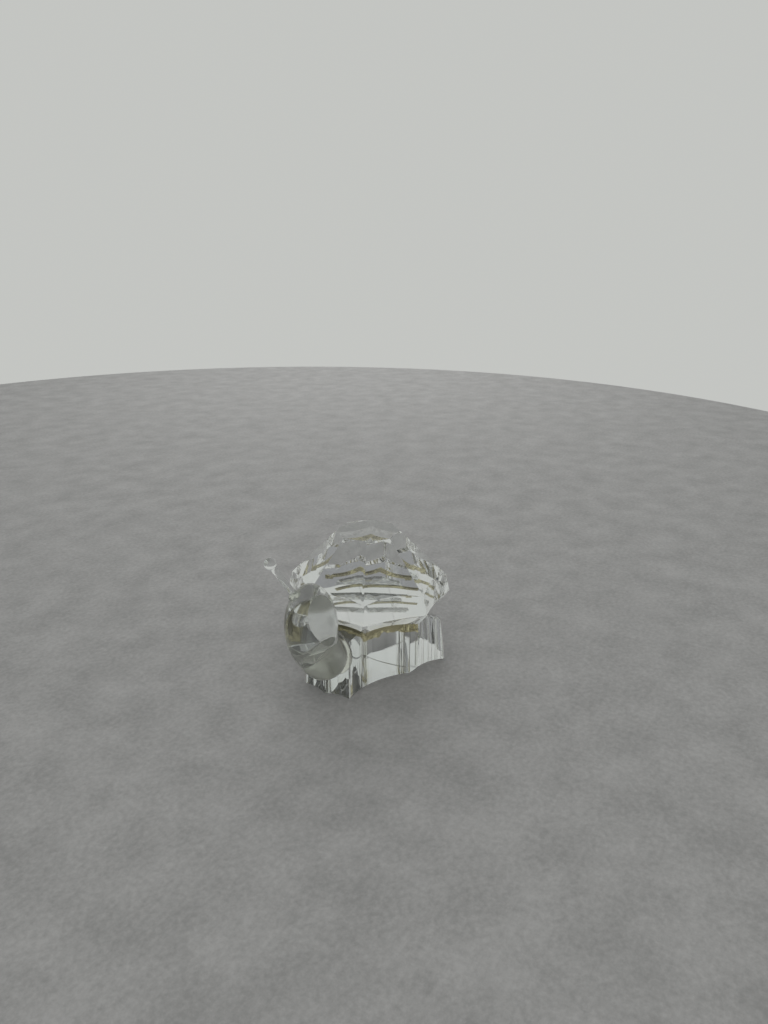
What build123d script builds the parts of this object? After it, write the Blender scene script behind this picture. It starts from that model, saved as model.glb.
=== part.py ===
"""Cut-crystal snail figurine, glued up from separate pieces of clear glass.

Millimetres, +Z up. The origin is on the table, on the axis of the shell.
+X is where the snail's nose points, +Y is its left side.
"""
from build123d import *
import math
import os

os.makedirs("parts", exist_ok=True)

# Foot: the block under the front, with a blunt scalloped nose and two long hollow flanks
FOOT_HEIGHT = 11.4
NOSE_TUCK = 0.6
NOSE_TURN = 19.8
NOSE_HOLLOW = 0.5
FLANK_END_X = 0.4
FLANK_HALF_WIDTH = 9.5
FLANK_HOLLOW = 1.7
JOINT_X = -2.2
JOINT_HALF_WIDTH = 9.8
GLASS_EDGE = 0.15

# Tail: the block behind the joint, with a scalloped rim that slopes down to the table
TAIL_REACH = 14.9
TAIL_FIRST_TURN = 122.0
TAIL_RIM_SIDES = 6
TAIL_FLANK_HOLLOW = 0.6
TAIL_RIM_HOLLOW = 0.4
TAIL_TIP_HEIGHT = 5.4
TAIL_LEAN = 1.3
JOINT_FILM = 0.3
JOINT_FILM_INSET = 0.3

# Shell: the big octagonal stone with hollow sides and a cut crown
SHELL_SIDES = 8
SHELL_TURN = 30.6
BOTTOM_REACH = 13.4
GIRDLE_REACH = 15.4
SHOULDER_REACH = 14.6
TABLE_REACH = 5.9
BEVEL_RISE = 2.4
WALL_RISE = 3.4
CROWN_RISE = 8.6
SHELL_HOLLOW = 1.3

# Resin bead between the shell and the foot
SHELL_BOND = 1.2
BEAD_WIDTH = 1.4
BEAD_INSET = 0.1
BEAD_SPREAD = 1.7

# Head: a blown drop with a round pad that is pressed on the nose
HEAD_OVERHANG = 0.6
HEAD_Y = 0.8
HEAD_RISE = 4.1
HEAD_HALF_WIDTH = 4.6
HEAD_HALF_HEIGHT = 7.9
PAD_Y = 2.1
PAD_DROP = 1.8
PAD_DEPTH = 2.0
PAD_BALL_RADIUS = 4.2
PAD_FLAT_GAP = 0.5

# Resin between the head and the nose
HEAD_BOND_RADIUS = 4.8
HEAD_BOND_WRAP = 1.0
HEAD_BOND_EDGE = 0.4

# Feeler: a drawn glass rod with a melted ball at the tip, on the right of the head
HEAD_TURN = -10.0
FEELER_FORWARD = 2.4
FEELER_SIDE = 1.1
FEELER_RISE = 6.35
FEELER_LENGTH = 7.2
FEELER_LEAN = 32.0
FEELER_SPLAY = 34.0
FEELER_RADIUS = 0.6
FEELER_BALL_RADIUS = 1.05
FEELER_BOND_RADIUS = 1.2
FEELER_BOND_HEIGHT = 0.9

# One overrun for every cutter
OVERRUN = 5.0

bottom_z = FOOT_HEIGHT + SHELL_BOND
girdle_z = bottom_z + BEVEL_RISE
shoulder_z = girdle_z + WALL_RISE
table_z = shoulder_z + CROWN_RISE
nose_reach = GIRDLE_REACH - NOSE_TUCK
pad_x = nose_reach + PAD_FLAT_GAP
pad_z = FOOT_HEIGHT - PAD_DROP
head_x = nose_reach - HEAD_OVERHANG + HEAD_HALF_WIDTH
head_z = FOOT_HEIGHT + HEAD_RISE
feeler_z = head_z + FEELER_RISE


def polar(reach, turn):
    """Point in plan at a distance and a turn in degrees from the nose."""
    return Vector(reach * math.cos(math.radians(turn)), reach * math.sin(math.radians(turn)))


def mirrored(point):
    """The same point on the snail's other side."""
    return Vector(point.X, -point.Y)


def hollow_side(start, end, hollow, height):
    """Edge from start to end at a height, bowed inwards by the hollow's depth."""
    a = Vector(start.X, start.Y, height)
    b = Vector(end.X, end.Y, height)
    if hollow == 0:
        return Edge.make_line(a, b)
    middle = (a + b) * 0.5
    inwards = Vector(-(b - a).Y, (b - a).X).normalized()
    return Edge.make_three_point_arc(a, middle + inwards * hollow, b)


def outline(corners, hollows, height=0):
    """Closed face whose sides are hollow ground. The corners run anticlockwise."""
    edges = []
    for i, corner in enumerate(corners):
        following = corners[(i + 1) % len(corners)]
        edges.append(hollow_side(corner, following, hollows[i], height))
    return Face(Wire(edges))


def octagon(reach, hollow, height):
    """Outline of the shell at a height."""
    corners = [polar(reach, SHELL_TURN + 360 * k / SHELL_SIDES) for k in range(SHELL_SIDES)]
    return outline(corners, [hollow] * SHELL_SIDES, height)


def box_between(low, high):
    """Box from its lowest to its highest corner."""
    size = high - low
    centre = (low + high) * 0.5
    return Pos(centre.X, centre.Y, centre.Z) * Box(size.X, size.Y, size.Z)


def foot_outline(height=0):
    """Plan of the foot: nose, flanks, and the flat face of the joint."""
    nose = polar(nose_reach, 0)
    cheek = polar(nose_reach, NOSE_TURN)
    flank_end = Vector(FLANK_END_X, FLANK_HALF_WIDTH)
    joint = Vector(JOINT_X, JOINT_HALF_WIDTH)
    left = [nose, cheek, flank_end, joint]
    right = [mirrored(joint), mirrored(flank_end), mirrored(cheek)]
    left_hollows = [NOSE_HOLLOW, FLANK_HOLLOW, 0, 0]
    right_hollows = [0, FLANK_HOLLOW, NOSE_HOLLOW]
    return outline(left + right, left_hollows + right_hollows, height)


def make_foot():
    """Front block, a straight prism with a fine bevel round its top and bottom."""
    block = extrude(foot_outline(), FOOT_HEIGHT)
    rims = block.edges().group_by(Axis.Z)[0] + block.edges().group_by(Axis.Z)[-1]
    return chamfer(rims, GLASS_EDGE)


def tail_outline(lean, height):
    """Plan of the tail, drawn in by the lean. It runs past the joint, which is cut later."""
    step = (360 - 2 * TAIL_FIRST_TURN) / TAIL_RIM_SIDES
    rim = [polar(TAIL_REACH - lean, TAIL_FIRST_TURN + step * k) for k in range(TAIL_RIM_SIDES + 1)]
    flank = Vector(JOINT_X - JOINT_FILM, JOINT_HALF_WIDTH)
    front = Vector(flank.X + OVERRUN, flank.Y)
    corners = [front, flank] + rim + [mirrored(flank), mirrored(front)]
    flanks = [0, TAIL_FLANK_HOLLOW]
    hollows = flanks + [TAIL_RIM_HOLLOW] * TAIL_RIM_SIDES + flanks[::-1] + [0]
    return outline(corners, hollows, height)


def make_tail():
    """Rear block: leaning scalloped sides under a top that slopes down to the tip."""
    block = loft([tail_outline(0, 0), tail_outline(TAIL_LEAN, FOOT_HEIGHT)], ruled=True)
    face_x = JOINT_X - JOINT_FILM
    block -= box_between(
        Vector(face_x, -TAIL_REACH, -OVERRUN),
        Vector(face_x + 2 * OVERRUN, TAIL_REACH, FOOT_HEIGHT + OVERRUN),
    )
    run = TAIL_REACH + face_x
    slope = math.degrees(math.atan2(FOOT_HEIGHT - TAIL_TIP_HEIGHT, run))
    wedge = box_between(
        Vector(-2 * TAIL_REACH, -2 * TAIL_REACH, 0),
        Vector(OVERRUN, 2 * TAIL_REACH, 2 * FOOT_HEIGHT),
    )
    return block - Pos(face_x, 0, FOOT_HEIGHT) * Rot(0, -slope, 0) * wedge


def make_tail_bond():
    """Film of resin that fills the upright joint between foot and tail."""
    return box_between(
        Vector(JOINT_X - JOINT_FILM, JOINT_FILM_INSET - JOINT_HALF_WIDTH, JOINT_FILM_INSET),
        Vector(JOINT_X, JOINT_HALF_WIDTH - JOINT_FILM_INSET, FOOT_HEIGHT - JOINT_FILM_INSET),
    )


def make_shell():
    """Eight hollow-ground sides between a low bevel and a crown of eight flat facets."""
    lean = (GIRDLE_REACH - SHOULDER_REACH) / WALL_RISE
    over_z = shoulder_z + SHELL_HOLLOW + SHELL_HOLLOW
    over_reach = SHOULDER_REACH - lean * (over_z - shoulder_z)
    bevel = loft(
        [octagon(BOTTOM_REACH, SHELL_HOLLOW, bottom_z), octagon(GIRDLE_REACH, SHELL_HOLLOW, girdle_z)],
        ruled=True,
    )
    wall = loft(
        [octagon(GIRDLE_REACH, SHELL_HOLLOW, girdle_z), octagon(over_reach, SHELL_HOLLOW, over_z)],
        ruled=True,
    )
    spread = (SHOULDER_REACH - TABLE_REACH) / CROWN_RISE
    base_reach = SHOULDER_REACH + spread * (shoulder_z - girdle_z)
    pyramid = loft([octagon(base_reach, 0, girdle_z), octagon(TABLE_REACH, 0, table_z)], ruled=True)
    core = extrude(octagon(over_reach, SHELL_HOLLOW, over_z), table_z - over_z)
    return bevel + ((wall + core) & pyramid)


def make_shell_bond():
    """Bead of resin round the seat of the shell, squeezed out past the foot's flanks."""
    seat = octagon(BOTTOM_REACH - BEAD_INSET, SHELL_HOLLOW, FOOT_HEIGHT)
    spread = offset(foot_outline(FOOT_HEIGHT), BEAD_SPREAD)
    rim = (seat & spread) & Pos(JOINT_X, 0, FOOT_HEIGHT) * Rectangle(
        4 * TAIL_REACH, 4 * TAIL_REACH, align=(Align.MIN, Align.CENTER)
    )
    face = rim.faces()[0]
    inner = offset(face, -BEAD_WIDTH)
    return extrude(face - inner, SHELL_BOND)


def make_head():
    """Egg of clear glass with a round pad at its back, ground flat where it is glued."""
    egg = Sphere(HEAD_HALF_WIDTH)
    egg = scale(egg, (1, 1, HEAD_HALF_HEIGHT / HEAD_HALF_WIDTH))
    egg = Pos(head_x, HEAD_Y, head_z) * egg
    pad = Pos(pad_x + PAD_DEPTH, PAD_Y, pad_z) * Sphere(PAD_BALL_RADIUS)
    reach = 2 * PAD_BALL_RADIUS
    pad -= box_between(
        Vector(pad_x - 2 * reach, PAD_Y - reach, pad_z - reach),
        Vector(pad_x, PAD_Y + reach, pad_z + reach),
    )
    return egg + pad


def make_head_bond(foot, shell, head):
    """Disc of resin behind the head's pad, moulded round the nose."""
    depth = PAD_FLAT_GAP + HEAD_BOND_WRAP
    disc = Pos(pad_x - depth, PAD_Y, pad_z) * Rot(0, 90, 0) * Cylinder(
        HEAD_BOND_RADIUS, depth, align=(Align.CENTER, Align.CENTER, Align.MIN)
    )
    disc = fillet(disc.edges(), HEAD_BOND_EDGE)
    return disc - foot - shell - head


def feeler_frame():
    """Foot point and direction of the feeler."""
    forward = polar(1, HEAD_TURN)
    left = polar(1, HEAD_TURN + 90)
    foot = Vector(head_x, HEAD_Y, feeler_z) + forward * FEELER_FORWARD - left * FEELER_SIDE
    outwards = polar(1, HEAD_TURN - FEELER_SPLAY)
    lean = math.radians(FEELER_LEAN)
    return foot, outwards * math.sin(lean) + Vector(0, 0, math.cos(lean))


def make_feeler(head):
    """Rod with a ball tip that starts at the head's skin."""
    foot, along = feeler_frame()
    plane = Plane(origin=foot, z_dir=along)
    rod = plane * Pos(0, 0, -OVERRUN / 2) * Cylinder(
        FEELER_RADIUS, FEELER_LENGTH + OVERRUN / 2, align=(Align.CENTER, Align.CENTER, Align.MIN)
    )
    ball = plane * Pos(0, 0, FEELER_LENGTH) * Sphere(FEELER_BALL_RADIUS)
    return rod + ball - head


def make_feeler_bond(head, feeler):
    """Drop of clear resin round the foot of the feeler."""
    foot, along = feeler_frame()
    plane = Plane(origin=foot, z_dir=along)
    drop = plane * scale(Sphere(FEELER_BOND_RADIUS), (1, 1, FEELER_BOND_HEIGHT / FEELER_BOND_RADIUS))
    return drop - head - feeler


foot = make_foot()
shell = make_shell()
head = make_head()
feeler = make_feeler(head)
parts = {
    "foot_crystal": foot,
    "tail_crystal": make_tail(),
    "tail_bond": make_tail_bond(),
    "shell_crystal": shell,
    "shell_bond": make_shell_bond(),
    "head_crystal": head,
    "head_bond": make_head_bond(foot, shell, head),
    "feeler": feeler,
    "feeler_bond": make_feeler_bond(head, feeler),
}

for name, solid in parts.items():
    export_step(solid, f"parts/{name}.step")
    box = solid.bounding_box()
    print(name, round(solid.volume, 2), "mm3", box.min, box.max)
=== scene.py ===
import bpy
import bmesh
import math
from mathutils import Matrix, Vector, noise


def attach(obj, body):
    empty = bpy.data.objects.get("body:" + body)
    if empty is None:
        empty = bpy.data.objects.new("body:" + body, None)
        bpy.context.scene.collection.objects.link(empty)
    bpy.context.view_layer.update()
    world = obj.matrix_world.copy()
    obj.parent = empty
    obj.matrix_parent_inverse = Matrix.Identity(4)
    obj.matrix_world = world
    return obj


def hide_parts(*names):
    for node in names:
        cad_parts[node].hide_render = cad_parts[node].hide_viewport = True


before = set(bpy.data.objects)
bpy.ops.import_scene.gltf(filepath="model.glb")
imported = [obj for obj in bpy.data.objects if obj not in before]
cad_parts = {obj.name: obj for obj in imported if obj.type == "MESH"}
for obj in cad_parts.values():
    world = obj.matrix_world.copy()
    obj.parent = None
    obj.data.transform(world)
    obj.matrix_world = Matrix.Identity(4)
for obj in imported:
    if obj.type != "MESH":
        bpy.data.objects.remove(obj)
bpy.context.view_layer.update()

# The table. The snail stands on a round matt table top, grey and cloudy like
# cast stone, that ends some way behind it. It isn't part of the snail.
TABLE_TOP_RADIUS = 0.262
TABLE_TOP_PLACE = (-0.0756, -0.1012)
TABLE_TOP_SEGMENTS = 256
FLOOR_DROP = 0.00002
STONE_DARK = (0.385, 0.381, 0.374, 1)
STONE_PALE = (0.545, 0.538, 0.529, 1)
STONE_STOPS = (0.38, 0.62)
STONE_ROUGHNESS = 0.7
GRAIN_SCALE = 1100.0
CLOUD_SCALE = 110.0
CLOUD_SHARE = 0.45


def node_material(name):
    """Empty node material, its node tree and its output."""
    mat = bpy.data.materials.new(name)
    mat.use_nodes = True
    tree = mat.node_tree
    tree.nodes.clear()
    out = tree.nodes.new("ShaderNodeOutputMaterial")
    return mat, tree, out


def add_node(tree, kind, **sockets):
    """Node of a kind with some of its sockets set."""
    node = tree.nodes.new(kind)
    for key, value in sockets.items():
        node.inputs[key.replace("_", " ")].default_value = value
    return node


def object_noise(tree, scale, detail=2.0, roughness=0.5):
    """Noise on the object's own coordinates."""
    place = tree.nodes.new("ShaderNodeTexCoord")
    texture = add_node(tree, "ShaderNodeTexNoise", Scale=scale, Detail=detail, Roughness=roughness)
    tree.links.new(place.outputs["Object"], texture.inputs["Vector"])
    return texture


def ramp(tree, source, stops):
    """Colour ramp fed from a socket, with stops of place and colour."""
    node = tree.nodes.new("ShaderNodeValToRGB")
    elements = node.color_ramp.elements
    elements[0].position, elements[0].color = stops[0]
    elements[1].position, elements[1].color = stops[-1]
    for place, colour in stops[1:-1]:
        elements.new(place).color = colour
    tree.links.new(source, node.inputs["Fac"])
    return node.outputs["Color"]


def mesh_object(name, bm, crease=None):
    """Object made from a bmesh. Edges sharper than the crease, in degrees, stay sharp."""
    mesh = bpy.data.meshes.new(name)
    bmesh.ops.recalc_face_normals(bm, faces=bm.faces)
    bm.to_mesh(mesh)
    bm.free()
    if crease is not None:
        mesh.shade_smooth()
        mesh.set_sharp_from_angle(angle=math.radians(crease))
    obj = bpy.data.objects.new(name, mesh)
    bpy.context.scene.collection.objects.link(obj)
    return obj


stone, tree, out = node_material("cast_stone")
stone_skin = add_node(tree, "ShaderNodeBsdfPrincipled", Roughness=STONE_ROUGHNESS)
grain = object_noise(tree, GRAIN_SCALE, detail=6.0, roughness=0.7)
clouds = object_noise(tree, CLOUD_SCALE, detail=5.0, roughness=0.6)
mottle = add_node(tree, "ShaderNodeMix", Factor=CLOUD_SHARE)
tree.links.new(grain.outputs["Fac"], mottle.inputs["A"])
tree.links.new(clouds.outputs["Fac"], mottle.inputs["B"])
stone_colour = ramp(tree, mottle.outputs["Result"], tuple(zip(STONE_STOPS, (STONE_DARK, STONE_PALE))))
tree.links.new(stone_colour, stone_skin.inputs["Base Color"])
tree.links.new(stone_skin.outputs["BSDF"], out.inputs["Surface"])

bm = bmesh.new()
bmesh.ops.create_circle(bm, cap_ends=True, radius=TABLE_TOP_RADIUS, segments=TABLE_TOP_SEGMENTS)
bmesh.ops.translate(bm, verts=bm.verts, vec=(*TABLE_TOP_PLACE, -FLOOR_DROP))
table_top = mesh_object("table_top", bm)
table_top.data.materials.append(stone)

# The room. Pale walls low down and a dimmer ceiling. A large soft window is high
# up in front of the snail, so that its shadow falls away behind it, and a soft
# lamp hangs over the far side of the table.
HORIZON = (0.55, 0.56, 0.54, 1)
WALL_MIDDLE = (0.52, 0.54, 0.52, 1)
WALL_TOP = (0.275, 0.28, 0.285, 1)
CEILING = (0.24, 0.245, 0.25, 1)
ROOM_STOPS = ((0.0, HORIZON), (0.34, HORIZON), (0.5, WALL_MIDDLE), (0.62, WALL_TOP), (1.0, CEILING))
WINDOW_PLACE = (0.25, 0.16, 0.4)
WINDOW_TARGET = (0, 0, 0.01)
WINDOW_SIZE = 0.4
WINDOW_POWER = 0.375
WINDOW_COLOUR = (1.0, 0.99, 0.97)
FAR_LAMP_PLACE = (-0.30, -0.21, 0.25)
FAR_LAMP_TARGET = (-0.25, -0.17, 0)
FAR_LAMP_SIZE = 0.3
FAR_LAMP_POWER = 0.35

world = bpy.data.worlds.new("room")
bpy.context.scene.world = world
world.use_nodes = True
tree = world.node_tree
direction = tree.nodes.new("ShaderNodeTexCoord")
heights = tree.nodes.new("ShaderNodeSeparateXYZ")
tree.links.new(direction.outputs["Generated"], heights.inputs["Vector"])
room_colour = ramp(tree, heights.outputs["Z"], ROOM_STOPS)
tree.links.new(room_colour, tree.nodes["Background"].inputs["Color"])
tree.links.new(tree.nodes["Background"].outputs["Background"], tree.nodes["World Output"].inputs["Surface"])


def soft_light(name, place, target, size, power, colour=(1, 1, 1)):
    """Square area light that looks at a point and isn't seen in or through the glass."""
    data = bpy.data.lights.new(name, "AREA")
    data.size = size
    data.energy = power
    data.color = colour
    lamp = bpy.data.objects.new(name, data)
    bpy.context.scene.collection.objects.link(lamp)
    lamp.location = place
    lamp.rotation_euler = (Vector(target) - Vector(place)).to_track_quat("-Z", "Y").to_euler()
    lamp.visible_transmission = False
    lamp.visible_glossy = False


soft_light("window", WINDOW_PLACE, WINDOW_TARGET, WINDOW_SIZE, WINDOW_POWER, WINDOW_COLOUR)
soft_light("far_lamp", FAR_LAMP_PLACE, FAR_LAMP_TARGET, FAR_LAMP_SIZE, FAR_LAMP_POWER)

# Light is thrown about many times inside cut glass before it gets out.
BOUNCES = 40
bpy.context.scene.cycles.max_bounces = BOUNCES
bpy.context.scene.cycles.glossy_bounces = BOUNCES
bpy.context.scene.cycles.transmission_bounces = BOUNCES

# The camera stands where the photograph was taken from.
CAMERA_PLACE = Vector((0.1108, 0.0746, 0.0772))
CAMERA_LOOK = Vector((-0.7945, -0.5100, -0.3297))
LENS = 27.03
SENSOR_WIDTH = 36.0
NEAREST_SEEN = 0.001

camera_data = bpy.data.cameras.new("camera")
camera_data.lens = LENS
camera_data.sensor_width = SENSOR_WIDTH
camera_data.clip_start = NEAREST_SEEN
camera = bpy.data.objects.new("camera", camera_data)
bpy.context.scene.collection.objects.link(camera)
camera.location = CAMERA_PLACE
camera.rotation_euler = CAMERA_LOOK.to_track_quat("-Z", "Y").to_euler()
bpy.context.scene.camera = camera
bpy.context.scene.view_settings.view_transform = "Standard"

# The foot. A block of clear lead crystal under the front of the shell, sawn and
# then ground on a wheel to two long hollow flanks and a blunt scalloped nose. It
# stands flat on the table.
FOOT_Z = 0.0114
NOSE_REACH = 0.0148
CHEEK_TURN = 19.8
NOSE_HOLLOW = 0.0005
FLANK_END = Vector((0.0004, 0.0095, 0))
FLANK_HOLLOW = 0.0017
JOINT_X = -0.0022
JOINT_HALF_WIDTH = 0.0098
BLOCK_EDGE = 0.00012
CUT_CREASE = 12
ARC_STEPS = 28
SAME_HEIGHT = 1e-7
WELD = 1e-6
GLASS_IOR = 1.54
GLASS_TINT = (0.935, 0.950, 0.942, 1)
WIPE_SCALE = 900.0
WIPE_STOPS = (0.55, 0.8)
DEPTH_SCALE = 120.0
DEPTH_STOPS = (0.3, 0.7)
SWIRL_SCALE = 160.0
SWIRL_DEPTH = 0.0001


def glass_material(name, tint, ior, roughness=0.0, wipe=0.010, bump=0.015, deep=0.985):
    """Glass with a little colour variation, faint wipe marks and a gentle swirl."""
    mat, tree, out = node_material(name)
    glass = add_node(tree, "ShaderNodeBsdfPrincipled", Roughness=roughness, IOR=ior, Transmission_Weight=1.0)
    wipes = object_noise(tree, WIPE_SCALE, detail=3.0)
    spread = add_node(
        tree, "ShaderNodeMapRange", From_Min=WIPE_STOPS[0], From_Max=WIPE_STOPS[1],
        To_Min=roughness, To_Max=roughness + wipe,
    )
    tree.links.new(wipes.outputs["Fac"], spread.inputs["Value"])
    tree.links.new(spread.outputs["Result"], glass.inputs["Roughness"])
    depth = object_noise(tree, DEPTH_SCALE, detail=1.0)
    darker = tuple(deep * c for c in tint[:3]) + (1,)
    colour = ramp(tree, depth.outputs["Fac"], tuple(zip(DEPTH_STOPS, (darker, tint))))
    tree.links.new(colour, glass.inputs["Base Color"])
    swirl = object_noise(tree, SWIRL_SCALE, detail=1.0)
    relief = add_node(tree, "ShaderNodeBump", Strength=bump, Distance=SWIRL_DEPTH)
    tree.links.new(swirl.outputs["Fac"], relief.inputs["Height"])
    tree.links.new(relief.outputs["Normal"], glass.inputs["Normal"])
    tree.links.new(glass.outputs["BSDF"], out.inputs["Surface"])
    return mat


def polar(reach, turn):
    """Point in plan at a distance and a turn in degrees from the nose."""
    angle = math.radians(turn)
    return Vector((reach * math.cos(angle), reach * math.sin(angle), 0))


def other_side(point):
    """The same point on the snail's other side."""
    return Vector((point.x, -point.y, 0))


def hollow_side(bm, start, end, hollow, height):
    """Chain of edges from start to end on the arc of the grinding wheel."""
    first = bm.verts.new((start.x, start.y, height))
    chord = end - start
    if hollow == 0:
        last = bmesh.ops.extrude_vert_indiv(bm, verts=[first])
        last["verts"][0].co = (end.x, end.y, height)
        bmesh.ops.subdivide_edges(bm, edges=last["edges"], cuts=ARC_STEPS - 1)
        return
    wheel = (chord.length ** 2 / 4 + hollow ** 2) / (2 * hollow)
    inwards = Vector((-chord.y, chord.x, 0)).normalized()
    centre = (start + end) / 2 + inwards * (hollow - wheel)
    bmesh.ops.spin(
        bm, geom=[first], cent=(centre.x, centre.y, height), axis=(0, 0, -1),
        angle=2 * math.asin(chord.length / 2 / wheel), steps=ARC_STEPS,
    )


def hollow_ring(bm, corners, hollows, height):
    """Closed ring of hollow sides at a height. The corners run anticlockwise."""
    for i, corner in enumerate(corners):
        hollow_side(bm, corner, corners[(i + 1) % len(corners)], hollows[i], height)
    ring = [v for v in bm.verts if abs(v.co.z - height) < SAME_HEIGHT]
    bmesh.ops.remove_doubles(bm, verts=ring, dist=WELD)
    return [e for e in bm.edges if all(abs(v.co.z - height) < SAME_HEIGHT for v in e.verts)]


def points_of(geometry):
    """The vertices among what an operator made."""
    return [g for g in geometry if isinstance(g, bmesh.types.BMVert)]


def edges_of(geometry):
    """The edges among what an operator made."""
    return [g for g in geometry if isinstance(g, bmesh.types.BMEdge)]


def wear_edges(bm, width, sharpest=15):
    """Take the sharp edges off with a very fine bevel."""
    bm.normal_update()
    sharp = [e for e in bm.edges if len(e.link_faces) == 2 and e.calc_face_angle() > math.radians(sharpest)]
    bmesh.ops.bevel(
        bm, geom=sharp, offset=width, offset_type="OFFSET", segments=1, profile=0.5,
        affect="EDGES", clamp_overlap=True, material=-1,
    )


def stand_in(obj, node):
    """Dress a piece of the snail with a finished mesh."""
    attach(obj, "root")
    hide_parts(node)


crystal = glass_material("cut_crystal", GLASS_TINT, GLASS_IOR)

joint = Vector((JOINT_X, JOINT_HALF_WIDTH, 0))
cheek = polar(NOSE_REACH, CHEEK_TURN)
left = [polar(NOSE_REACH, 0), cheek, FLANK_END, joint]
right = [other_side(p) for p in (joint, FLANK_END, cheek)]
hollows = [NOSE_HOLLOW, FLANK_HOLLOW, 0, 0, 0, FLANK_HOLLOW, NOSE_HOLLOW]
bm = bmesh.new()
base = hollow_ring(bm, left + right, hollows, 0)
bmesh.ops.contextual_create(bm, geom=base)
block = bmesh.ops.extrude_face_region(bm, geom=bm.faces[:])["geom"]
bmesh.ops.translate(bm, verts=points_of(block), vec=(0, 0, FOOT_Z))
wear_edges(bm, BLOCK_EDGE)
foot = mesh_object("foot", bm, CUT_CREASE)
foot.data.materials.append(crystal)
stand_in(foot, "foot_crystal")

# The tail. A block of the same crystal behind the upright joint, ground to a
# scalloped rim that leans in, with a top that slopes down to its tip. It is
# glued to the back of the foot.
JOINT_FILM = 0.0003
TAIL_REACH = 0.0149
TAIL_FIRST_TURN = 122.0
TAIL_RIM_SIDES = 6
TAIL_FLANK_HOLLOW = 0.0006
TAIL_RIM_HOLLOW = 0.0004
TAIL_TIP_Z = 0.0054
TAIL_LEAN = 0.0013
TAIL_TOP_DROP = 0.00001


def cut_off(bm, point, normal):
    """Grind away what lies beyond a plane and close the new facet."""
    everything = bm.verts[:] + bm.edges[:] + bm.faces[:]
    made = bmesh.ops.bisect_plane(bm, geom=everything, plane_co=point, plane_no=normal, clear_outer=True)
    bmesh.ops.contextual_create(bm, geom=edges_of(made["geom_cut"]))


tail_x = JOINT_X - JOINT_FILM
flank = Vector((tail_x, JOINT_HALF_WIDTH, 0))
step = (360 - 2 * TAIL_FIRST_TURN) / TAIL_RIM_SIDES
hollows = [TAIL_FLANK_HOLLOW] + [TAIL_RIM_HOLLOW] * TAIL_RIM_SIDES + [TAIL_FLANK_HOLLOW, 0]
bm = bmesh.new()
tail_rings = []
for lean, height in ((0, 0), (TAIL_LEAN, FOOT_Z)):
    rim = [polar(TAIL_REACH - lean, TAIL_FIRST_TURN + step * k) for k in range(TAIL_RIM_SIDES + 1)]
    ring = hollow_ring(bm, [flank] + rim + [other_side(flank)], hollows, height)
    bmesh.ops.contextual_create(bm, geom=ring)
    tail_rings += ring
bmesh.ops.bridge_loops(bm, edges=tail_rings)
slope = Vector((TAIL_TIP_Z - FOOT_Z, 0, TAIL_REACH + tail_x)).normalized()
cut_off(bm, (tail_x, 0, FOOT_Z - TAIL_TOP_DROP), slope)
wear_edges(bm, BLOCK_EDGE)
tail = mesh_object("tail", bm, CUT_CREASE)
tail.data.materials.append(crystal)
stand_in(tail, "tail_crystal")

# The joint. Clear resin between the foot and the tail, which grips both blocks
# in a strip at each upright edge of the joint, with air between the two strips.
RESIN_IOR = 1.50
CLEAR_TINT = (0.95, 0.95, 0.92, 1)
GRIP = 0.00002
STRIP_STARTS = (0.0094, -0.0088)
STRIP_RUN = 0.0006
STRIP_INSET = 0.0003
STRIP_CREASE = 30
RIB_SCALE = 1800


def resin_strip(bm, points, high, low, width, ribs=0.0, seed=0.0):
    """Upright strip of resin along a line of points in plan, with a ribbed lower edge."""
    chain = [bm.verts.new((p.x, p.y, high)) for p in points]
    edges = [bm.edges.new(pair) for pair in zip(chain, chain[1:])]
    lower = points_of(bmesh.ops.extrude_edge_only(bm, edges=edges)["geom"])
    for v in lower:
        v.co.z = low + ribs * noise.noise(v.co * RIB_SCALE + Vector((seed, 0, 0)))
    walls = list(dict.fromkeys(f for v in lower for f in v.link_faces))
    bm.normal_update()
    bmesh.ops.solidify(bm, geom=walls, thickness=width)


clear = glass_material("clear_resin", CLEAR_TINT, RESIN_IOR, roughness=0.02, wipe=0.04, bump=0.4)

bm = bmesh.new()
for y in STRIP_STARTS:
    strip = [Vector((JOINT_X + GRIP, y, 0)), Vector((JOINT_X + GRIP, y - STRIP_RUN, 0))]
    resin_strip(bm, strip, FOOT_Z - STRIP_INSET, STRIP_INSET, JOINT_FILM + 2 * GRIP)
joint_film = mesh_object("joint_film", bm, STRIP_CREASE)
joint_film.data.materials.append(clear)
stand_in(joint_film, "tail_bond")

# The shell. An octagonal stone of clear lead crystal with eight hollow sides
# ground on a wheel, a low bevel under them, and a polished crown of eight flat
# facets round a table. It is glued down by its flat seat.
SHELL_SIDES = 8
SHELL_TURN = 30.6
SEAT_Z = 0.0126
GIRDLE_Z = 0.0150
SHOULDER_Z = 0.0184
TABLE_Z = 0.0270
SEAT_REACH = 0.0134
GIRDLE_REACH = 0.0154
SHOULDER_REACH = 0.0146
TABLE_REACH = 0.0059
SHELL_HOLLOW = 0.0013
WALL_HOLLOW = 0.0005
SHELL_EDGE = 0.00005
CORE_OVERRUN = 0.001

side_turn = 360 / SHELL_SIDES


def octagon(bm, reach, height, hollow=SHELL_HOLLOW):
    """Ring of the shell's outline at a height."""
    corners = [polar(reach, SHELL_TURN + side_turn * k) for k in range(SHELL_SIDES)]
    return hollow_ring(bm, corners, [hollow] * SHELL_SIDES, height)


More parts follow.
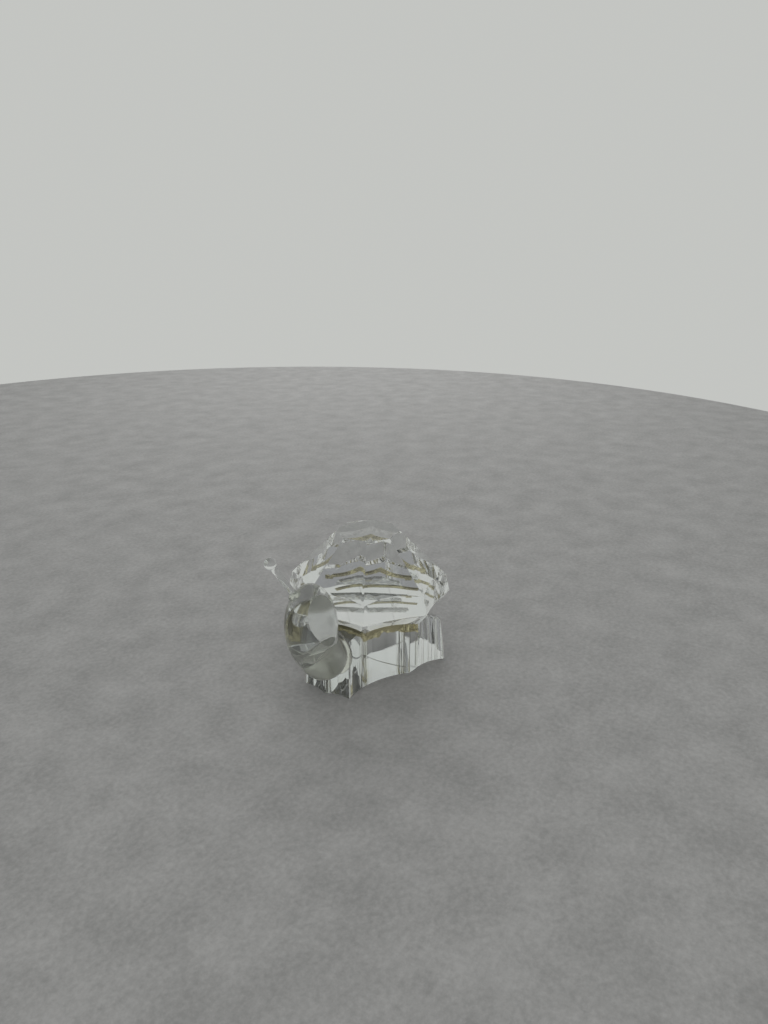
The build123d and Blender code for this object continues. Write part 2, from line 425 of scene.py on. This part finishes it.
bm = bmesh.new()
lean = (GIRDLE_REACH - SHOULDER_REACH) / (SHOULDER_Z - GIRDLE_Z)
top_z = SHOULDER_Z + 2 * SHELL_HOLLOW
top_reach = SHOULDER_REACH - lean * (top_z - SHOULDER_Z)
seat = octagon(bm, SEAT_REACH, SEAT_Z)
bmesh.ops.contextual_create(bm, geom=seat)
girdle = octagon(bm, GIRDLE_REACH, GIRDLE_Z, WALL_HOLLOW)
bmesh.ops.bridge_loops(bm, edges=seat + girdle)
wall_top = octagon(bm, top_reach, top_z, WALL_HOLLOW)
bmesh.ops.bridge_loops(bm, edges=girdle + wall_top)
core_top = octagon(bm, top_reach, TABLE_Z + CORE_OVERRUN, WALL_HOLLOW)
bmesh.ops.bridge_loops(bm, edges=wall_top + core_top)
bmesh.ops.contextual_create(bm, geom=core_top)
flat_share = math.cos(math.radians(side_turn / 2))
fall = math.atan2(TABLE_Z - SHOULDER_Z, (SHOULDER_REACH - TABLE_REACH) * flat_share)
for k in range(SHELL_SIDES):
    out_way = polar(1, SHELL_TURN + side_turn / 2 + side_turn * k)
    facet_normal = out_way * math.sin(fall) + Vector((0, 0, math.cos(fall)))
    cut_off(bm, out_way * SHOULDER_REACH * flat_share + Vector((0, 0, SHOULDER_Z)), facet_normal)
cut_off(bm, (0, 0, TABLE_Z), (0, 0, 1))
wear_edges(bm, SHELL_EDGE)
shell = mesh_object("shell", bm, CUT_CREASE)
shell.data.materials.append(crystal)
stand_in(shell, "shell_crystal")

# The seam. Clear resin that has yellowed to amber. It was squeezed out under the
# front rim of the shell when that was pressed on the foot, and hangs there in a
# rough bead.
RESIN_TINT = (0.77, 0.70, 0.44, 1)
RESIN_CREASE = 40
SEAM_EDGES = ((0.0001, 0.0), (0.0017, 0.00001))
SEAM_SPAN = 78.0
SEAM_DEPTH = 0.0015
SEAM_RIPPLE = 0.55
SEAM_SCALE = 900

resin = glass_material("aged_resin", RESIN_TINT, RESIN_IOR, roughness=0.05, wipe=0.08, bump=0.3, deep=0.7)

bm = bmesh.new()
rims = [octagon(bm, SEAT_REACH - inset, SEAT_Z + GRIP + lift) for inset, lift in SEAM_EDGES]
bmesh.ops.bridge_loops(bm, edges=rims[0] + rims[1])
behind = [v for v in bm.verts if abs(math.atan2(v.co.y, v.co.x)) > math.radians(SEAM_SPAN)]
bmesh.ops.delete(bm, geom=behind, context="VERTS")
hung = bmesh.ops.extrude_face_region(bm, geom=bm.faces[:])["geom"]
for v in points_of(hung):
    v.co.z -= SEAM_DEPTH * (1 + SEAM_RIPPLE * noise.noise(v.co * SEAM_SCALE))
seam_bead = mesh_object("seam_bead", bm, RESIN_CREASE)
seam_bead.data.materials.append(resin)
stand_in(seam_bead, "shell_bond")

# The seat. The same amber resin ran back under the shell and set there in two
# beads with air between them: an arc of a ring at the rear, and a winding run
# across the middle, whose places are in millimetres.
RING_REACH = 0.0073
RING_HOLLOW = 0.0005
RING_WIDTH = 0.0013
RING_DEPTH = 0.0004
RING_OPEN = SHELL_TURN
RING_END = -0.60
RING_RIPPLE = 1.2
RING_SCALE = 2500
RUN = [(2.1, -3.8), (0.9, -3.0), (-0.9, -1.4), (-1.7, -0.1), (-3.2, 2.1), (-3.9, 4.3), (-4.9, 6.4)]
RUN_POINTS = 90
RUN_DEPTH = 0.0003
RUN_WIDTH = 0.0010
RUN_RIBS = 0.00012
RUN_SEED = 2.0
MILLIMETRE = 0.001
ROUNDINGS = 2
CORNER_CUT = 0.25
SAME_LENGTH = 1e-9


def along(points, count):
    """Evenly spaced points on a smooth line through a few given ones, in millimetres."""
    line = [Vector((x, y, 0)) * MILLIMETRE for x, y in points]
    for _ in range(ROUNDINGS):
        finer = [line[0]]
        for a, b in zip(line, line[1:]):
            finer += [a.lerp(b, CORNER_CUT), a.lerp(b, 1 - CORNER_CUT)]
        line = finer + [line[-1]]
    lengths = [0.0]
    for a, b in zip(line, line[1:]):
        lengths.append(lengths[-1] + (b - a).length)
    spots = []
    for i in range(count):
        want = lengths[-1] * i / (count - 1)
        k = max(j for j in range(len(line) - 1) if lengths[j] <= want + SAME_LENGTH)
        span = lengths[k + 1] - lengths[k]
        spots.append(line[k].lerp(line[k + 1], (want - lengths[k]) / span))
    return spots


bm = bmesh.new()
rims = [octagon(bm, RING_REACH, SEAT_Z + GRIP - depth, RING_HOLLOW) for depth in (0, RING_DEPTH)]
bmesh.ops.bridge_loops(bm, edges=rims[0] + rims[1])
near = [v for v in bm.verts if v.co.xy.dot(polar(1, RING_OPEN).xy) > RING_REACH * RING_END]
bmesh.ops.delete(bm, geom=near, context="VERTS")
for v in [v for v in bm.verts if v.co.z < SEAT_Z]:
    above = v.co.xy.to_3d() + Vector((0, 0, SEAT_Z + GRIP))
    v.co.z -= RING_DEPTH * RING_RIPPLE * noise.noise(above * RING_SCALE)
bmesh.ops.recalc_face_normals(bm, faces=bm.faces)
inward = [f for f in bm.faces if f.normal.dot(f.calc_center_median().xy.to_3d()) < 0]
bmesh.ops.reverse_faces(bm, faces=inward)
bmesh.ops.solidify(bm, geom=bm.faces[:], thickness=-RING_WIDTH)
resin_strip(bm, along(RUN, RUN_POINTS), SEAT_Z + GRIP, SEAT_Z - RUN_DEPTH, RUN_WIDTH, RUN_RIBS, RUN_SEED)
seat_bead = mesh_object("seat_bead", bm, RESIN_CREASE)
seat_bead.data.materials.append(resin)
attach(seat_bead, "root")

# The pools. Two thin puddles of resin that stayed clear, one behind the middle
# of the seat and one in front of it. They cling to the underside of the shell
# and have set wavy below.
POOL_SIZE = 0.0066
POOL_CELLS = 70
POOL_REACH = 0.0054
POOL_SIDES = (2, 3, 4, 5, 6)
REAR_POOL = {"far": -0.0056, "near": -0.0024, "depth": 0.0004, "wave": 0.00022, "rough": 1300}
FRONT_POOL = {"far": 0.0006, "near": 0.0030, "depth": 0.0005, "wave": 0.00035, "rough": 1000}


def pool_of_resin(bm, far, near, depth, wave, rough):
    """Thin pool under the seat, wavy below, between two lines square to the ring's open side."""
    pool = bmesh.new()
    bmesh.ops.create_grid(pool, x_segments=POOL_CELLS, y_segments=POOL_CELLS, size=POOL_SIZE)
    bmesh.ops.translate(pool, verts=pool.verts, vec=(0, 0, SEAT_Z + GRIP))
    planes = [(polar(1, SHELL_TURN + side_turn / 2 + side_turn * k), POOL_REACH) for k in POOL_SIDES]
    planes += [(polar(1, RING_OPEN), near), (polar(1, RING_OPEN + 180), -far)]
    for way, reach in planes:
        everything = pool.verts[:] + pool.edges[:] + pool.faces[:]
        bmesh.ops.bisect_plane(pool, geom=everything, plane_co=way * reach, plane_no=way, clear_outer=True)
    made = bmesh.ops.extrude_face_region(pool, geom=pool.faces[:])["geom"]
    for v in points_of(made):
        v.co.z -= depth + wave * noise.noise(v.co * rough)
    mesh = bpy.data.meshes.new("pool")
    pool.to_mesh(mesh)
    pool.free()
    bm.from_mesh(mesh)
    bpy.data.meshes.remove(mesh)


bm = bmesh.new()
pool_of_resin(bm, **REAR_POOL)
pool_of_resin(bm, **FRONT_POOL)
puddle = mesh_object("clear_puddle", bm, RESIN_CREASE)
puddle.data.materials.append(clear)
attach(puddle, "root")

# The head. A smooth drop of clear glass, melted and blown, with a round pad at
# its back. The pad is ground flat and pressed on the nose in a disc of resin.
HEAD_PLACE = Vector((0.0188, 0.0008, 0.0155))
HEAD_HALF_WIDTH = 0.0046
HEAD_HALF_HEIGHT = 0.0079
PAD_PLACE = Vector((0.0173, 0.0021, 0.0096))
PAD_RADIUS = 0.0042
PAD_X = 0.0153
PAD_SLACK = 0.00001
PAD_FACING = -0.99
HEAD_HEART = Vector((0.0180, 0.0013, 0.0120))
HEAD_FINENESS = 6
HEAD_CREASE = 30
MELT = 14.0
MELT_LIMIT = 1.02
HEAD_TINT = (0.86, 0.88, 0.865, 1)


def reach_to(way, centre, size):
    """How far the skin of an ellipsoid lies from the head's heart in a direction."""
    start = Vector([(h - c) / s for h, c, s in zip(HEAD_HEART, centre, size)])
    go = Vector([w / s for w, s in zip(way, size)])
    a, b, c = go.dot(go), 2 * go.dot(start), start.dot(start) - 1
    return (-b + math.sqrt(b * b - 4 * a * c)) / (2 * a)


blown_glass = glass_material("blown_glass", HEAD_TINT, GLASS_IOR, roughness=0.03, wipe=0.03, bump=0.05)
ground_glass = glass_material("ground_glass", HEAD_TINT, GLASS_IOR, roughness=0.30, wipe=0.05, bump=0.0)

bm = bmesh.new()
bmesh.ops.create_icosphere(bm, subdivisions=HEAD_FINENESS, radius=1.0)
egg = (HEAD_HALF_WIDTH, HEAD_HALF_WIDTH, HEAD_HALF_HEIGHT)
for v in bm.verts:
    way = v.co.normalized()
    of_egg = reach_to(way, HEAD_PLACE, egg)
    of_pad = reach_to(way, PAD_PLACE, (PAD_RADIUS,) * 3)
    larger = max(of_egg, of_pad)
    both = larger * ((of_egg / larger) ** MELT + (of_pad / larger) ** MELT) ** (1 / MELT)
    v.co = HEAD_HEART + way * min(both, larger * MELT_LIMIT)
cut_off(bm, (PAD_X, 0, 0), (-1, 0, 0))
head = mesh_object("head", bm, HEAD_CREASE)
head.data.materials.append(blown_glass)
head.data.materials.append(ground_glass)
for face in head.data.polygons:
    if face.normal.x < PAD_FACING and abs(face.center.x - PAD_X) < PAD_SLACK:
        face.material_index = 1
stand_in(head, "head_crystal")

# The head's resin. A thin disc of pale resin with a fine round edge, pressed flat
# between the head's pad and the nose.
HEAD_BOND_RADIUS = 0.0045
HEAD_BOND_X = 0.0149
HEAD_BOND_EDGE = 0.0001
HEAD_BOND_SEGMENTS = 64
HEAD_BOND_SHARP = 1.0
HEAD_BOND_STEPS = 4
PALE_TINT = (0.95, 0.94, 0.87, 1)

pale_resin = glass_material("pale_resin", PALE_TINT, RESIN_IOR, roughness=0.02, wipe=0.04, bump=0.1, deep=0.9)

bm = bmesh.new()
bmesh.ops.create_circle(bm, cap_ends=True, radius=HEAD_BOND_RADIUS, segments=HEAD_BOND_SEGMENTS)
disc = bmesh.ops.extrude_face_region(bm, geom=bm.faces[:])["geom"]
bmesh.ops.translate(bm, verts=points_of(disc), vec=(0, 0, PAD_X + GRIP - HEAD_BOND_X))
turn = Matrix.Rotation(math.radians(90), 4, "Y")
place = Matrix.Translation((HEAD_BOND_X, PAD_PLACE.y, PAD_PLACE.z))
bmesh.ops.transform(bm, matrix=place @ turn, verts=bm.verts)
bmesh.ops.recalc_face_normals(bm, faces=bm.faces)
rims = [e for e in bm.edges if e.calc_face_angle() > HEAD_BOND_SHARP]
bmesh.ops.bevel(
    bm, geom=rims, offset=HEAD_BOND_EDGE, segments=HEAD_BOND_STEPS, profile=0.5,
    affect="EDGES", material=-1,
)
head_glue = mesh_object("head_glue", bm, RESIN_CREASE)
head_glue.data.materials.append(pale_resin)
stand_in(head_glue, "head_bond")

# The feeler. A thin rod drawn from the same clear glass as the stones, with a
# drop melted at its tip. It leans out on the right of the head, where it was
# set in resin.
HEAD_TURN = -10.0
FEELER_FORWARD = 0.0024
FEELER_SIDE = 0.0011
FEELER_Z = 0.02185
FEELER_LENGTH = 0.0072
FEELER_LEAN = 32.0
FEELER_SPLAY = 34.0
FEELER_CREASE = 50
ROD_RADIUS = 0.0006
ROD_FOOT = -0.0006
ROD_WAIST = FEELER_LENGTH * 0.4
WAIST_SHARE = 0.96
NECK_SHARE = 0.95
FLARE_SHARE = 1.02
BALL_RADIUS = 0.00104
BALL_START = -52.0
BALL_STEPS = 12
NECK_DROP = 2.1
NECK_RISE = 0.45
SPUN_STEPS = 40
SPUN_WELD = 1e-7


def spun(bm, profile):
    """Solid of revolution about Z from a profile of radius and height."""
    chain = [bm.verts.new((radius, 0, height)) for radius, height in profile]
    edges = [bm.edges.new(pair) for pair in zip(chain, chain[1:])]
    bmesh.ops.spin(
        bm, geom=chain + edges, cent=(0, 0, 0), axis=(0, 0, 1),
        angle=2 * math.pi, steps=SPUN_STEPS, use_merge=True,
    )
    bmesh.ops.remove_doubles(bm, verts=bm.verts, dist=SPUN_WELD)


feeler_root = HEAD_PLACE.xy.to_3d() + Vector((0, 0, FEELER_Z))
feeler_root += polar(FEELER_FORWARD, HEAD_TURN) - polar(FEELER_SIDE, HEAD_TURN + 90)
tilt = math.radians(FEELER_LEAN)
up = polar(math.sin(tilt), HEAD_TURN - FEELER_SPLAY) + Vector((0, 0, math.cos(tilt)))
set_up = Matrix.Translation(feeler_root) @ up.to_track_quat("Z", "Y").to_matrix().to_4x4()

neck = FEELER_LENGTH - NECK_DROP * BALL_RADIUS
profile = [(0, ROD_FOOT), (ROD_RADIUS, ROD_FOOT), (ROD_RADIUS, 0.0), (ROD_RADIUS * WAIST_SHARE, ROD_WAIST)]
profile += [(ROD_RADIUS * NECK_SHARE, neck), (ROD_RADIUS * FLARE_SHARE, neck + BALL_RADIUS * NECK_RISE)]
for i in range(BALL_STEPS + 1):
    angle = math.radians(BALL_START + (90 - BALL_START) * i / BALL_STEPS)
    profile.append((BALL_RADIUS * math.cos(angle), FEELER_LENGTH + BALL_RADIUS * math.sin(angle)))
profile[-1] = (0, FEELER_LENGTH + BALL_RADIUS)
bm = bmesh.new()
spun(bm, profile)
bmesh.ops.transform(bm, matrix=set_up, verts=bm.verts)
feeler = mesh_object("feeler_glass", bm, FEELER_CREASE)
feeler.data.materials.append(crystal)
stand_in(feeler, "feeler")

# The drop at the feeler's foot. Clear resin that ran round the rod and set as a
# low dome on the head.
DROP_RADIUS = 0.0012
DROP_HALF_HEIGHT = 0.0007
DROP_CREASE = 60
DROP_SEGMENTS = 32
DROP_RINGS = 16
DROP_TINT = (0.93, 0.93, 0.86, 1)

drop_resin = glass_material("clear_drop", DROP_TINT, RESIN_IOR, roughness=0.0, wipe=0.03, bump=0.05)

bm = bmesh.new()
bmesh.ops.create_uvsphere(bm, u_segments=DROP_SEGMENTS, v_segments=DROP_RINGS, radius=DROP_RADIUS)
bmesh.ops.scale(bm, vec=(1, 1, DROP_HALF_HEIGHT / DROP_RADIUS), verts=bm.verts)
bmesh.ops.transform(bm, matrix=set_up, verts=bm.verts)
drop = mesh_object("feeler_drop", bm, DROP_CREASE)
drop.data.materials.append(drop_resin)
stand_in(drop, "feeler_bond")
